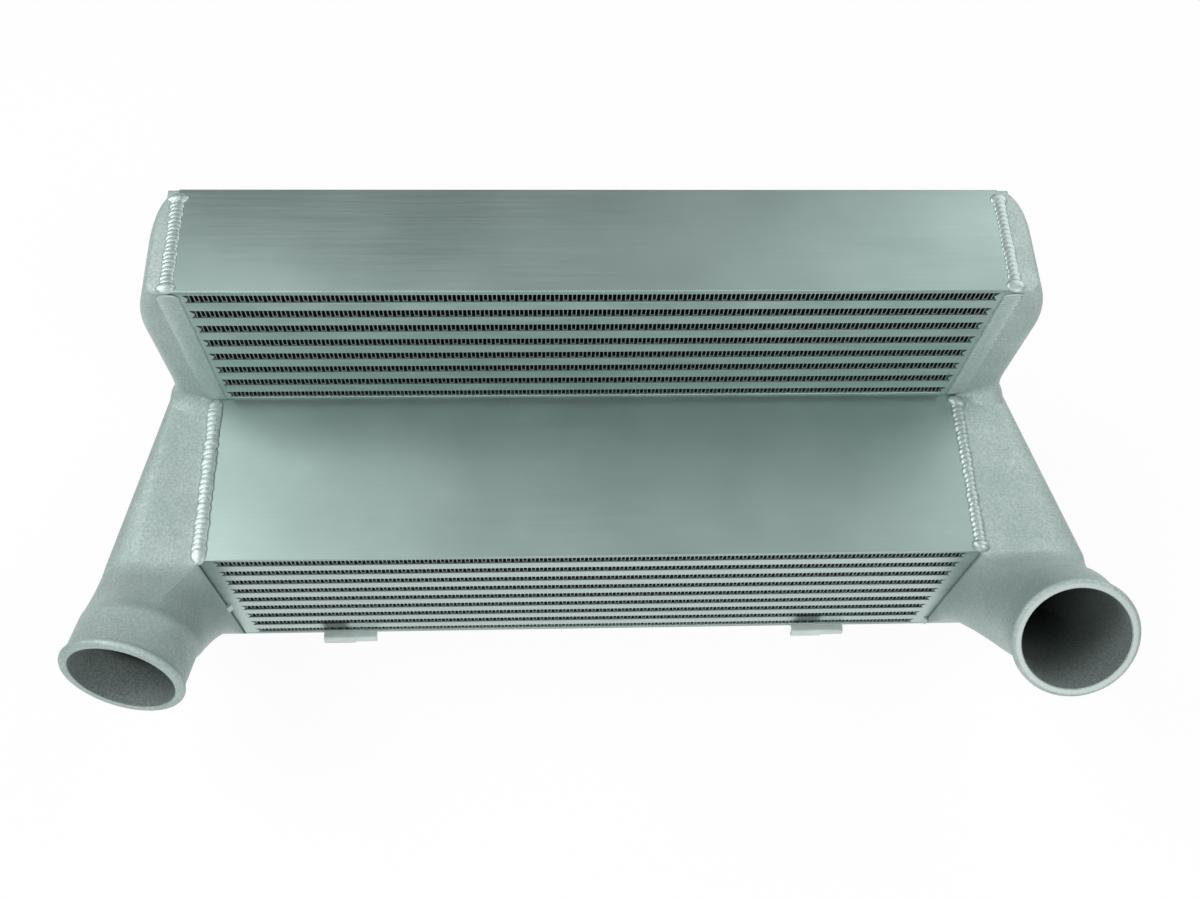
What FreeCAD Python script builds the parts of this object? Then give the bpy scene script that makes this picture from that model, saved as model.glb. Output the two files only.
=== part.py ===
import FreeCAD, Part
import math
import os

# Stepped bar and plate charge air cooler, in millimetres.
# The brazed core is a deep lower block with a shallower block standing on its rear half.
# A cast tank is welded on each end of the core and narrows forward into a beaded hose port.
# +X runs along the core, +Y towards its rear face and +Z up.
# The origin is the middle of the underside of the bottom plate.

Vector = FreeCAD.Vector

# Core stack
fin_row_length = 505.0
end_bar_width = 9.0
end_bar_nose = 3.0
core_height = 287.6
lower_depth = 198.4
upper_depth = 77.4
lower_rows = 9
upper_rows = 8
charge_bar_height = 7.5
charge_bar_depth = 8.0
sheet_thickness = 0.6
bottom_plate_thickness = 3.0
step_plate_thickness = 2.3
upper_base_thickness = 2.0
top_plate_thickness = 3.0

# Corrugated fins, folded wider than the real pitch to keep the model light
fin_gauge = 0.5
fin_legs = 58
fin_setback = 1.0
fin_end_gap = 0.2
charge_fin_gauge = 0.5
charge_fin_pitch = 22.0
charge_fin_setback = 2.0

# Tanks
tank_wall = 4.0
tank_out_rear = 11.5
weld_land = 5.5
least_run = 0.5
least_radius = 1.0
least_top_width = 1.0
cavity_step = 1.0
crown_out_rear = 9.0
crown_out_middle = 27.0
crown_out_front = 46.0
crown_rise_rear = 1.0
crown_rise_middle = 2.0
roll_rear = 6.0
roll_middle = 9.0
bottom_radius_rear = 3.0
bottom_radius_middle = 14.0
bottom_radius_front = 24.0
duct_wall_top = 142.0
upper_shoulder = 47.0
upper_front_radius = 5.0
upper_rear_round = 30.0
upper_rear_narrowing = 14.0
upper_rear_land = 7.0
upper_tank_root = 20.0

# Ports
port_bore_radius = 34.0
port_bead_radius = 40.0
port_bead_width = 5.0
port_bead_flat = 2.0
port_face_radius = 38.8
port_tube_length = 28.0
bore_overrun = 1.0

# The two castings: where the middle of each mouth lies, the way that it faces,
# how the duct climbs to it, and the widths beyond the core
left_casting = {
    "port_out": 37.8, "port_reach": 79.7, "port_height": 156.0, "port_rise_deg": 14.8,
    "port_swing_deg": 9.5, "floor_power": 0.62, "crown_power": 1.2, "crown_rise": 5.0,
    "middle_out": 34.0, "front_out": 62.0, "upper_out": 25.4, "upper_top_out": 12.5,
}
right_casting = {
    "port_out": 33.1, "port_reach": 77.2, "port_height": 198.8, "port_rise_deg": 47.4,
    "port_swing_deg": -4.9, "floor_power": 0.62, "crown_power": 1.5, "crown_rise": 5.0,
    "middle_out": 37.0, "front_out": 73.0, "upper_out": 29.2, "upper_top_out": 15.5,
}

# Facets that stand for the castings' curves
inner_facets = 8
top_facets = 2
roll_facets = 5
wall_facets = 3
corner_facets = 4
floor_facets = 3
duct_stages = 5
cavity_stages = 3
shoulder_facets = 4
front_edge_steps = ((0.0, 1.0), (0.3, 0.3), (1.0, 0.0))
outer_turns = (0, 30, 55, 75, 90)
cavity_turns = (0, 60, 90)

# Weld beads
bead_width = 10.0
front_bead_width = 16.0
bead_height = 2.2
bead_end_gap = 4.0
tack_size = 3.0
tack_length = 9.0
left_tack_height = 57.0
right_tack_height = 6.0

# Brackets under the front edge
bracket_gauge = 2.6
bracket_width = 40.0
bracket_reach = 7.0
bracket_long_drop = 5.0
bracket_short_drop = 2.0
bracket_long_share = 0.58
left_bracket_inset = 59.5
right_bracket_inset = 64.0

# Derived planes and heights
core_half = fin_row_length / 2 + end_bar_width
crown_index = inner_facets + 1 + top_facets
ring_points = crown_index + roll_facets + wall_facets + corner_facets + floor_facets
front_y = -lower_depth / 2
rear_y = lower_depth / 2
upper_front_y = rear_y - upper_depth
layer_height = charge_bar_height + 2 * sheet_thickness
plates_height = (bottom_plate_thickness + step_plate_thickness + upper_base_thickness
                 + sheet_thickness + top_plate_thickness)
passages = lower_rows - 1 + upper_rows - 1
fin_height = (core_height - plates_height - passages * layer_height) / (lower_rows + upper_rows)
row_pitch = fin_height + layer_height
lower_fins_z = bottom_plate_thickness
step_plate_z = lower_fins_z + lower_rows * fin_height + (lower_rows - 1) * layer_height
upper_base_z = step_plate_z + step_plate_thickness
upper_fins_z = upper_base_z + upper_base_thickness
top_sheet_z = upper_fins_z + upper_rows * fin_height + (upper_rows - 1) * layer_height
top_plate_z = top_sheet_z + sheet_thickness
top_z = top_plate_z + top_plate_thickness


def save(name, shape):
    shape.exportStep(os.path.join("parts", name + ".step"))


def slab(y_low, y_high, z_low, thickness):
    """A flat sheet over the whole length of the core."""
    corner = Vector(-core_half, y_low, z_low)
    return Part.makeBox(2 * core_half, y_high - y_low, thickness, corner)


def corrugation(start, length, legs, height, gauge):
    """Outline of a folded strip, as (along, up) pairs, with its folds on both sheets."""
    pitch = length / legs
    lower = [(start + i * pitch, (height - gauge) * (i % 2)) for i in range(legs + 1)]
    upper = [(along, up + gauge) for along, up in reversed(lower)]
    return lower + upper


def ambient_fin(y_low, y_high, z_low):
    """Folded fin that the outside air crosses from front to rear."""
    half = fin_row_length / 2 - end_bar_nose - fin_end_gap
    outline = corrugation(-half, 2 * half, fin_legs, fin_height, fin_gauge)
    y_start = y_low + fin_setback
    points = [Vector(x, y_start, z_low + z) for x, z in outline]
    face = Part.Face(Part.makePolygon(points + points[:1]))
    return face.extrude(Vector(0, y_high - y_low - 2 * fin_setback, 0))


def charge_fin(y_low, y_high, z_low):
    """Folded fin inside a charge passage, with its channels running from tank to tank."""
    y_start = y_low + charge_bar_depth
    length = y_high - y_low - 2 * charge_bar_depth
    legs = max(2, round(length / charge_fin_pitch))
    outline = corrugation(y_start, length, legs, charge_bar_height, charge_fin_gauge)
    x_start = -core_half + charge_fin_setback
    points = [Vector(x_start, y, z_low + z) for y, z in outline]
    face = Part.Face(Part.makePolygon(points + points[:1]))
    return face.extrude(Vector(-2 * x_start, 0, 0))


def charge_bars(y_low, y_high, z_low):
    """Front and rear bars that close one charge passage."""
    front = slab(y_low, y_low + charge_bar_depth, z_low, charge_bar_height)
    rear = slab(y_high - charge_bar_depth, y_high, z_low, charge_bar_height)
    return Part.makeCompound([front, rear])


def end_bar(side, y_low, y_high, z_low):
    """Bar that closes one end of a fin row, with a pointed nose towards the fins."""
    shoulder = fin_row_length / 2
    outline = [
        (core_half, 0), (core_half, fin_height), (shoulder, fin_height),
        (shoulder - end_bar_nose, fin_height / 2), (shoulder, 0),
    ]
    points = [Vector(side * x, y_low, z_low + z) for x, z in outline]
    face = Part.Face(Part.makePolygon(points + points[:1]))
    return face.extrude(Vector(0, y_high - y_low, 0))


def build_block(label, rows, z_low, y_low, y_high):
    """Write the fins, bars and sheets of one block, its rows counted from the top."""
    sheets = []
    charge_fins = []
    end_bars = {"left": [], "right": []}
    for row in range(rows):
        fin_z = z_low + (rows - 1 - row) * row_pitch
        save(f"ambient_fin_{label}_{row + 1}", ambient_fin(y_low, y_high, fin_z))
        end_bars["left"].append(end_bar(-1, y_low, y_high, fin_z))
        end_bars["right"].append(end_bar(1, y_low, y_high, fin_z))
        if row == rows - 1:
            continue
        bar_z = fin_z - sheet_thickness - charge_bar_height
        save(f"charge_bar_{label}_{row + 1}", charge_bars(y_low, y_high, bar_z))
        charge_fins.append(charge_fin(y_low, y_high, bar_z))
        sheets.append(slab(y_low, y_high, fin_z - sheet_thickness, sheet_thickness))
        sheets.append(slab(y_low, y_high, bar_z - sheet_thickness, sheet_thickness))
    for side, bars in end_bars.items():
        save(f"end_bars_{label}_{side}", Part.makeCompound(bars))
    save(f"charge_fins_{label}", Part.makeCompound(charge_fins))
    return sheets


def skin(rings):
    """Closed solid of flat facets through rings that have the same number of points."""
    faces = []
    count = len(rings[0])
    for ring, following in zip(rings, rings[1:]):
        for i in range(count):
            j = (i + 1) % count
            for corners in ((ring[i], ring[j], following[j]), (ring[i], following[j], following[i])):
                faces.append(Part.Face(Part.makePolygon(corners + corners[:1])))
    for ring in (rings[0], rings[-1]):
        faces.append(Part.Face(Part.makePolygon(ring + ring[:1])))
    solid = Part.makeSolid(Part.makeShell(faces))
    if solid.Volume < 0:
        solid.reverse()
    return solid


def line_points(start, end, count):
    """Evenly spaced points from start up to, but not including, end."""
    return [start + (end - start) * (i / count) for i in range(count)]


def quarter_points(start, end, count, start_level):
    """Quarter of an ellipse across X and Z that leaves start level, or else upright."""
    span = end - start
    points = []
    for i in range(count):
        turn = math.pi / 2 * i / count
        level_part = math.sin(turn)
        upright_part = 1 - math.cos(turn)
        across, climb = (level_part, upright_part) if start_level else (upright_part, level_part)
        points.append(start + Vector(span.x * across, span.y * i / count, span.z * climb))
    return points


def lower_ring(y, out, crown_out, rise, roll, bottom_radius, inset, inner_x):
    """Section of the lower tank at one depth: sloping top, rolled outer edge, rounded foot."""
    x_out = core_half + out - inset
    floor = inset
    foot = max(bottom_radius - inset, least_radius)
    weld_edge = Vector(inner_x, y, upper_base_z - inset)
    crown_x = min(core_half + crown_out, x_out - least_run)
    crown = Vector(crown_x, y, upper_base_z + rise - inset)
    wall_top = Vector(x_out, y, crown.z - max(roll - inset, least_radius))
    wall_foot = Vector(x_out, y, floor + foot)
    floor_out = Vector(x_out - foot, y, floor)
    floor_in = Vector(inner_x, y, floor)
    points = line_points(floor_in, weld_edge, inner_facets)
    land_edge = Vector(min(core_half + weld_land + inset, crown_x - least_run), y, weld_edge.z)
    points += [weld_edge] + line_points(land_edge, crown, top_facets)
    points += quarter_points(crown, wall_top, roll_facets, True)
    points += line_points(wall_top, wall_foot, wall_facets)
    points += quarter_points(wall_foot, floor_out, corner_facets, False)
    points += line_points(floor_out, floor_in, floor_facets)
    return points


def lower_rings(casting, inset, inner_x):
    """Sections of the lower tank from its rear wall to the front face of the core."""
    rise = casting["crown_rise"]
    rear = lower_ring(rear_y - inset, tank_out_rear, crown_out_rear, crown_rise_rear,
                      roll_rear, bottom_radius_rear, inset, inner_x)
    middle = lower_ring(upper_front_y, casting["middle_out"], crown_out_middle, crown_rise_middle,
                        roll_middle, bottom_radius_middle, inset, inner_x)
    rings = [rear, middle]
    shape = (casting["front_out"], crown_out_front, rise, upper_base_z + rise - duct_wall_top,
             bottom_radius_front, inset)
    if inset:
        rings.append(lower_ring(front_y + inset + cavity_step, *shape, inner_x))
        inner_x = core_half + inset
    return rings + [lower_ring(front_y + inset, *shape, inner_x)]


def port_frame(casting):
    """Centre of the mouth, the way it faces, and the outward and upward lines across it."""
    rise = math.radians(casting["port_rise_deg"])
    swing = math.radians(casting["port_swing_deg"])
    forward = math.cos(rise)
    facing = Vector(forward * math.sin(swing), -forward * math.cos(swing), math.sin(rise))
    centre = Vector(core_half + casting["port_out"], front_y - casting["port_reach"], casting["port_height"])
    out_dir = (Vector(1, 0, 0) - facing * facing.x).normalize()
    up_dir = facing.cross(out_dir)
    return centre, facing, out_dir, up_dir


def root_ring(casting, radius):
    """Ring of points round the root of the port tube, paired with those of a lower section."""
    centre, facing, out_dir, up_dir = port_frame(casting)
    root = centre - facing * port_tube_length
    step = 2 * math.pi / ring_points
    first = math.pi / 2 + crown_index * step
    points = []
    for i in range(ring_points):
        turn = first - i * step
        points.append(root + out_dir * (radius * math.cos(turn)) + up_dir * (radius * math.sin(turn)))
    return points


def duct_rings(casting, inset, stages):
    """Sections of the duct from the front face of the core to the root of the port tube."""
    start = lower_rings(casting, inset, core_half)[-1]
    end = root_ring(casting, port_bore_radius + tank_wall - inset)
    rings = []
    floor_power, crown_power = casting["floor_power"], casting["crown_power"]
    for stage in range(stages + 1):
        share = stage / stages
        ring = []
        for a, b in zip(start, end):
            power = floor_power + (crown_power - floor_power) * a.z / start[crown_index].z
            level = a + (b - a) * share
            ring.append(Vector(level.x, level.y, a.z + (b.z - a.z) * share ** power))
        rings.append(ring)
    return rings


def upper_ring(y, out, top_out, inset, inner_x):
    """Section of the upper tank at one depth: flat top, long curved shoulder and upright wall."""
    x_out = core_half + out - inset
    x_top = max(core_half + top_out - inset, inner_x + least_top_width)
    root = upper_base_z - upper_tank_root - inset
    points = [Vector(inner_x, y, root), Vector(inner_x, y, top_z - inset)]
    for i in range(shoulder_facets + 1):
        left_over = 1 - i / shoulder_facets
        fall = (x_out - x_top) * left_over ** 2
        drop = inset + (upper_shoulder - inset) * (1 - left_over)
        points.append(Vector(x_out - fall, y, top_z - drop))
    return points + [Vector(x_out, y, root)]


def upper_tank(casting, inset, inner_x, turns):
    """Upper tank, standing on the rear half of the lower one, with its upright edges rounded."""
    out = casting["upper_out"]
    top_out = casting["upper_top_out"]
    rings = []
    for share_back, share_in in front_edge_steps:
        y = upper_front_y + inset + upper_front_radius * share_back
        edge = upper_front_radius * share_in
        rings.append(upper_ring(y, out - edge, top_out - edge, inset, inner_x))
    for turn_deg in turns:
        turn = math.radians(turn_deg)
        y = rear_y - inset - (upper_rear_round - inset) * (1 - math.sin(turn))
        edge = upper_rear_narrowing * (1 - math.cos(turn))
        rings.append(upper_ring(y, out - edge, max(top_out - edge, upper_rear_land), inset, inner_x))
    return skin(rings)


def port_tube(casting, radius, length):
    """Straight tube of the port, from its root forward."""
    centre, facing, _, _ = port_frame(casting)
    return Part.makeCylinder(radius, length, centre - facing * port_tube_length, facing)


def port_bead(casting):
    """Bead round the mouth of the port, which keeps a clamped hose from slipping off."""
    centre, facing, out_dir, _ = port_frame(casting)
    outside = port_bore_radius + tank_wall
    slope = (port_bead_width - port_bead_flat) / 2
    outline = [
        (port_bore_radius + tank_wall / 2, 0.0), (port_face_radius, 0.0), (port_bead_radius, slope),
        (port_bead_radius, slope + port_bead_flat), (outside, port_bead_width),
        (port_bore_radius + tank_wall / 2, port_bead_width),
    ]
    points = [centre + out_dir * radius - facing * back for radius, back in outline]
    return Part.Face(Part.makePolygon(points + points[:1])).revolve(centre, facing, 360)


def tank(casting):
    """One cast tank on the right-hand end of the core."""
    outer = skin(lower_rings(casting, 0.0, core_half))
    outside = [
        skin(duct_rings(casting, 0.0, duct_stages)),
        port_tube(casting, port_bore_radius + tank_wall, port_tube_length),
        port_bead(casting),
        upper_tank(casting, 0.0, core_half, outer_turns),
    ]
    for piece in outside:
        outer = outer.fuse(piece)
    open_x = core_half - tank_wall
    cavity = skin(lower_rings(casting, tank_wall, open_x))
    inside = [
        skin(duct_rings(casting, tank_wall, cavity_stages)),
        port_tube(casting, port_bore_radius, port_tube_length + bore_overrun),
        upper_tank(casting, tank_wall, open_x, cavity_turns),
    ]
    for piece in inside:
        cavity = cavity.fuse(piece)
    return parted(outer.cut(cavity).removeSplitter())


def parted(casting_solid):
    """One casting as three solids, parted at the core's front face and on top of the lower tank."""
    ahead_corner = Vector(0, front_y - lower_depth, -top_z)
    ahead = Part.makeBox(2 * core_half, lower_depth, 3 * top_z, ahead_corner)
    above_corner = Vector(0, upper_front_y, upper_base_z + crown_rise_middle)
    above = Part.makeBox(2 * core_half, lower_depth, top_z, above_corner)
    behind = casting_solid.cut(ahead)
    return Part.makeCompound([behind.cut(above), behind.common(above), casting_solid.common(ahead)])


def bead_on(start, along, length, across, proud, width, height):
    """Weld bead with a flat back, its crown standing off the seam."""
    half = width / 2
    left = start - across * half
    right = start + across * half
    crown = start + proud * height
    edges = [Part.Arc(left, crown, right).toShape(), Part.makeLine(right, left)]
    return Part.Face(Part.Wire(edges)).extrude(along * length)


def build_beads(side, label):
    """Weld beads and the tack that join one tank to the core."""
    x = side * core_half
    across = Vector(1, 0, 0)
    up = Vector(0, 0, 1)
    rearward = Vector(0, 1, 0)
    top_start = Vector(x, upper_front_y, top_z)
    save(f"top_weld_{label}",
         bead_on(top_start, rearward, upper_depth - bead_end_gap, across, up, bead_width, bead_height))
    front_start = Vector(x, upper_front_y, upper_base_z + bead_height)
    front_length = top_z - front_start.z - bead_end_gap
    save(f"upper_front_weld_{label}",
         bead_on(front_start, up, front_length, across, rearward * -1, front_bead_width, bead_height))
    step_start = Vector(x, front_y, upper_base_z)
    step_length = upper_front_y - front_y - bead_height
    save(f"step_weld_{label}",
         bead_on(step_start, rearward, step_length, across, up, bead_width, bead_height))
    rear_start = Vector(x, rear_y, bead_end_gap)
    save(f"rear_weld_{label}",
         bead_on(rear_start, up, top_z - 2 * bead_end_gap, across, rearward, bead_width, bead_height))


def build_tack(side, label, z_low, casting):
    """Short fillet weld in the corner between the core's front face and the tank's flank."""
    x = side * core_half
    corner = Vector(x, front_y, z_low)
    inward = corner - Vector(side * tack_size, 0, 0)
    forward = corner - Vector(0, tack_size, 0)
    face = Part.Face(Part.makePolygon([corner, inward, forward, corner]))
    save(f"lower_tack_{label}", face.extrude(Vector(0, 0, tack_length)).cut(casting))


def folded_tab(x_start, width, drop):
    """Sheet that runs forward from the bottom plate and folds down into a lip."""
    y_front = front_y - bracket_reach
    centre = Vector(x_start, y_front + bracket_gauge, 0)
    diagonal = bracket_gauge / math.sqrt(2)
    fold_top = centre + Vector(0, 0, bracket_gauge)
    fold_middle = centre + Vector(0, -diagonal, diagonal)
    fold_front = centre + Vector(0, -bracket_gauge, 0)
    lip_front = fold_front + Vector(0, 0, -drop)
    lip_back = centre + Vector(0, 0, -drop)
    root = Vector(x_start, front_y, 0)
    root_top = Vector(x_start, front_y, bracket_gauge)
    edges = [
        Part.makeLine(root_top, fold_top),
        Part.Arc(fold_top, fold_middle, fold_front).toShape(),
        Part.makeLine(fold_front, lip_front),
        Part.makeLine(lip_front, lip_back),
        Part.makeLine(lip_back, centre),
        Part.makeLine(centre, root),
        Part.makeLine(root, root_top),
    ]
    return Part.Face(Part.Wire(edges)).extrude(Vector(width, 0, 0))


def bracket(x_start):
    """Folded sheet tab on the front edge of the bottom plate, its lip longer over part of its width."""
    long_width = bracket_width * bracket_long_share
    long_part = folded_tab(x_start, long_width, bracket_long_drop)
    short_part = folded_tab(x_start + long_width, bracket_width - long_width, bracket_short_drop)
    return long_part.fuse(short_part).removeSplitter()


def main():
    os.makedirs("parts", exist_ok=True)
    save("bottom_plate", slab(front_y, rear_y, 0.0, bottom_plate_thickness))
    save("step_plate", slab(front_y, rear_y, step_plate_z, step_plate_thickness))
    save("upper_base_plate", slab(upper_front_y, rear_y, upper_base_z, upper_base_thickness))
    save("top_plate", slab(upper_front_y, rear_y, top_plate_z, top_plate_thickness))
    lower_sheets = build_block("lower", lower_rows, lower_fins_z, front_y, rear_y)
    upper_sheets = build_block("upper", upper_rows, upper_fins_z, upper_front_y, rear_y)
    upper_sheets.append(slab(upper_front_y, rear_y, top_sheet_z, sheet_thickness))
    save("parting_sheets_lower", Part.makeCompound(lower_sheets))
    save("parting_sheets_upper", Part.makeCompound(upper_sheets))
    right_tank = tank(right_casting)
    left_tank = tank(left_casting).mirror(Vector(0, 0, 0), Vector(1, 0, 0))
    save("right_tank", right_tank)
    save("left_tank", left_tank)
    build_beads(-1, "left")
    build_beads(1, "right")
    build_tack(-1, "left", left_tack_height, left_tank)
    build_tack(1, "right", right_tack_height, right_tank)
    save("left_bracket", bracket(-core_half + left_bracket_inset))
    save("right_bracket", bracket(core_half - right_bracket_inset - bracket_width))


main()
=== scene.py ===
import math

import bpy
from mathutils import Matrix, Vector


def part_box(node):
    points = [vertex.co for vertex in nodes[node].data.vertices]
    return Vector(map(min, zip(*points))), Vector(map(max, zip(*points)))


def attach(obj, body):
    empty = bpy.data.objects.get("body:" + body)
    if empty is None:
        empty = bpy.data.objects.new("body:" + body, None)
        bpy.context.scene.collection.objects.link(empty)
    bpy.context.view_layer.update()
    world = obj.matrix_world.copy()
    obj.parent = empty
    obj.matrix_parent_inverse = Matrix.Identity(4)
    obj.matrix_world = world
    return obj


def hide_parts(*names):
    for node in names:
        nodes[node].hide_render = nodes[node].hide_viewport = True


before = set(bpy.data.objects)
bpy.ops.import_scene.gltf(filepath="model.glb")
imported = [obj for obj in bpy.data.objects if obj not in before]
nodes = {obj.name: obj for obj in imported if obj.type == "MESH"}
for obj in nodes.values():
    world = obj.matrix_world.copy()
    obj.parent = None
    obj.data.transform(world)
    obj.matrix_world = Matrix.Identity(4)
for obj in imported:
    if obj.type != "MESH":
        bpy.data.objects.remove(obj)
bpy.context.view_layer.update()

MM = 0.001

# Sizes of the solids, in millimetres
CORE_HALF = 261.5
ROW_HALF = 252.5
FRONT_Y = -99.2
REAR_Y = 99.2
STEP_FRONT_Y = 21.8
STEP_Z = 152.3
TOP_Z = 287.6
FIN_HEIGHT = 8.6
FIN_SETBACK = 1.0
BORE_RADIUS = 34.0
TUBE_RADIUS = 38.0
BEAD_RADIUS = 40.0
TUBE_LENGTH = 28.0
WALL = 4.0
TACK_LOW, TACK_HIGH = 57.0, 66.0

# Where the finish, the dark patches and the painted shade change, in millimetres
FOIL_SHADE_START, FOIL_SHADE_FULL = 0.1, 0.6
PARTING_SETBACK = 0.3
PATCH_MIDDLES = (-191.5, 168.0)
PATCH_HALF, PATCH_SOFT = 7.0, 5.0
PATCH_TOP, PATCH_FADED = 20.0, 27.0
PATCH_FRONT, PATCH_ENDED = -50.0, -30.0
SEAM_DARK, SEAM_FADED = 0.6, 2.2
SEAM_BEHIND = 0.4
SEAM_HALF, SEAM_SOFT = 5.0, 1.0
SEAM_TOP, SEAM_ENDED = 147.0, 151.0
TACK_SOFT = 2.0
CHANGEOVER = 10.0

# How dark the patches above the brackets and the painted shade along the left and right seams are, from 0
# to 1
PATCH_SHARE = 0.78
SEAM_LEFT, SEAM_RIGHT = 0.9, 0.6

WHITE = (1.0, 1.0, 1.0, 1.0)


# Materials

def linear(hex_colour):
    """An sRGB hex colour as linear red, green, blue and alpha."""
    channels = [int(hex_colour[i:i + 2], 16) / 255 for i in (1, 3, 5)]
    return [c / 12.92 if c <= 0.04045 else ((c + 0.055) / 1.055) ** 2.4 for c in channels] + [1.0]


def add(tree, kind, inputs=None, **settings):
    """A new node in the tree, with its settings and with its inputs set or linked."""
    made = tree.nodes.new(kind)
    for name, value in settings.items():
        setattr(made, name, value)
    for name, value in (inputs or {}).items():
        if isinstance(value, bpy.types.NodeSocket):
            tree.links.new(value, made.inputs[name])
        else:
            made.inputs[name].default_value = value
    return made


def ramp(tree, factor, stops):
    """A colour ramp with (position, hex colour) stops."""
    made = add(tree, "ShaderNodeValToRGB", {0: factor})
    elements = made.color_ramp.elements
    while len(elements) < len(stops):
        elements.new(0.5)
    for element, (place, colour) in zip(elements, stops):
        element.position = place
        element.color = linear(colour)
    return made.outputs["Color"]


def start_material(name):
    """A new material, its tree, its main shader and the object coordinates."""
    material = bpy.data.materials.new(name)
    material.use_nodes = True
    tree = material.node_tree
    tree.nodes.clear()
    shader = add(tree, "ShaderNodeBsdfPrincipled")
    add(tree, "ShaderNodeOutputMaterial", {"Surface": shader.outputs[0]})
    place = add(tree, "ShaderNodeTexCoord").outputs["Object"]
    return material, tree, shader, place


def noise(tree, place, size_mm, detail, stretch=(1.0, 1.0, 1.0), roughness=0.5):
    """Noise whose blotches are about size_mm across, drawn out along an axis by its stretch."""
    scale = [1.0 / s for s in stretch]
    moved = add(tree, "ShaderNodeMapping", {"Vector": place, "Scale": scale})
    made = add(tree, "ShaderNodeTexNoise", {
        "Vector": moved.outputs[0], "Scale": 1.0 / (size_mm * MM), "Detail": detail,
        "Roughness": roughness})
    return made.outputs["Fac"]


def spread(tree, value, low, high, to_low, to_high):
    """The value moved from one range to another, and held inside it."""
    made = add(tree, "ShaderNodeMapRange", {
        "Value": value, "From Min": low, "From Max": high, "To Min": to_low, "To Max": to_high})
    return made.outputs["Result"]


def maths(tree, operation, first, second=0.0, third=0.0):
    """The result of one sum on numbers or sockets."""
    made = add(tree, "ShaderNodeMath", {0: first, 1: second, 2: third}, operation=operation)
    return made.outputs[0]


def tint(tree, colour, other, factor):
    """A mix of two colours by a factor; sockets 6 and 7 are the mix node's colour inputs."""
    made = add(tree, "ShaderNodeMix", {"Factor": factor, 6: colour, 7: other}, data_type="RGBA")
    return made.outputs[2]


def bump(tree, shader, height, depth_mm, strength):
    """Small relief on the shader's normal, as deep as depth_mm."""
    made = add(tree, "ShaderNodeBump", {"Height": height, "Distance": depth_mm * MM, "Strength": strength})
    tree.links.new(made.outputs["Normal"], shader.inputs["Normal"])


def near(tree, value, middle_mm, half_mm, soft_mm):
    """1 where a coordinate lies within half_mm of a middle, fading to 0 over soft_mm."""
    away = maths(tree, "ABSOLUTE", maths(tree, "SUBTRACT", value, middle_mm * MM))
    return spread(tree, away, half_mm * MM, (half_mm + soft_mm) * MM, 1.0, 0.0)


def bracket_dark_patch(tree, place):
    """Darker patch on the core's front face, above the left part of each bracket."""
    axes = add(tree, "ShaderNodeSeparateXYZ", {0: place}).outputs
    low = spread(tree, axes["Z"], PATCH_TOP * MM, PATCH_FADED * MM, 1.0, 0.0)
    left, right = (near(tree, axes["X"], middle, PATCH_HALF, PATCH_SOFT) for middle in PATCH_MIDDLES)
    at_front = spread(tree, axes["Y"], PATCH_FRONT * MM, PATCH_ENDED * MM, PATCH_SHARE, 0.0)
    patches = maths(tree, "MAXIMUM", left, right)
    return maths(tree, "MULTIPLY", maths(tree, "MULTIPLY", patches, low), at_front)


def rolled_sheet():
    """Rolled aluminium sheet: satin, with faint rolling lines along X and a few light scuffs."""
    material, tree, shader, place = start_material("rolled aluminium sheet, satin")
    lines = noise(tree, place, 0.9, 3.0, (60.0, 1.0, 1.0))
    cloud = noise(tree, place, 70.0, 3.0)
    scuffs = noise(tree, place, 1.6, 4.0, (6.0, 1.0, 1.0), 0.7)
    base = ramp(tree, cloud, [(0.3, "#99aca8"), (0.7, "#a5b8b4")])
    light = spread(tree, scuffs, 0.66, 0.78, 0.0, 0.25)
    tree.links.new(tint(tree, base, linear("#d2dcda"), light), shader.inputs["Base Color"])
    tree.links.new(spread(tree, lines, 0.3, 0.7, 0.46, 0.54), shader.inputs["Roughness"])
    shader.inputs["Metallic"].default_value = 1.0
    bump(tree, shader, lines, 0.02, 0.5)
    return material


def folded_strip():
    """Aluminium strip of the brackets: dull from the mill, with a paler colour than the rolled sheet that
    is painted light on its tabs.
    """
    material, tree, shader, place = start_material("folded aluminium strip, mill finish")
    cloud = noise(tree, place, 5.0, 3.0, (3.0, 1.0, 1.0))
    # Painted light: the paler base colour stands in for the light falling on the tabs
    tree.links.new(ramp(tree, cloud, [(0.3, "#cbd9d5"), (0.7, "#dbe7e4")]), shader.inputs["Base Color"])
    shader.inputs["Metallic"].default_value = 0.4
    shader.inputs["Roughness"].default_value = 0.6
    bump(tree, shader, cloud, 0.05, 0.3)
    return material


def drawn_bar():
    """Drawn aluminium bar after brazing: flat, even and a little lighter than the sheet."""
    material, tree, shader, place = start_material("drawn aluminium bar, brazed")
    cloud = noise(tree, place, 9.0, 3.0, (4.0, 1.0, 1.0))
    base = ramp(tree, cloud, [(0.3, "#b0c2be"), (0.7, "#c0d0cc")])
    # Darker patch above the left part of each bracket
    darkened = tint(tree, base, linear("#2a3331"), bracket_dark_patch(tree, place))
    tree.links.new(darkened, shader.inputs["Base Color"])
    tree.links.new(spread(tree, cloud, 0.3, 0.7, 0.38, 0.48), shader.inputs["Roughness"])
    shader.inputs["Metallic"].default_value = 1.0
    bump(tree, shader, noise(tree, place, 0.7, 2.0), 0.02, 0.4)
    return material


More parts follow.
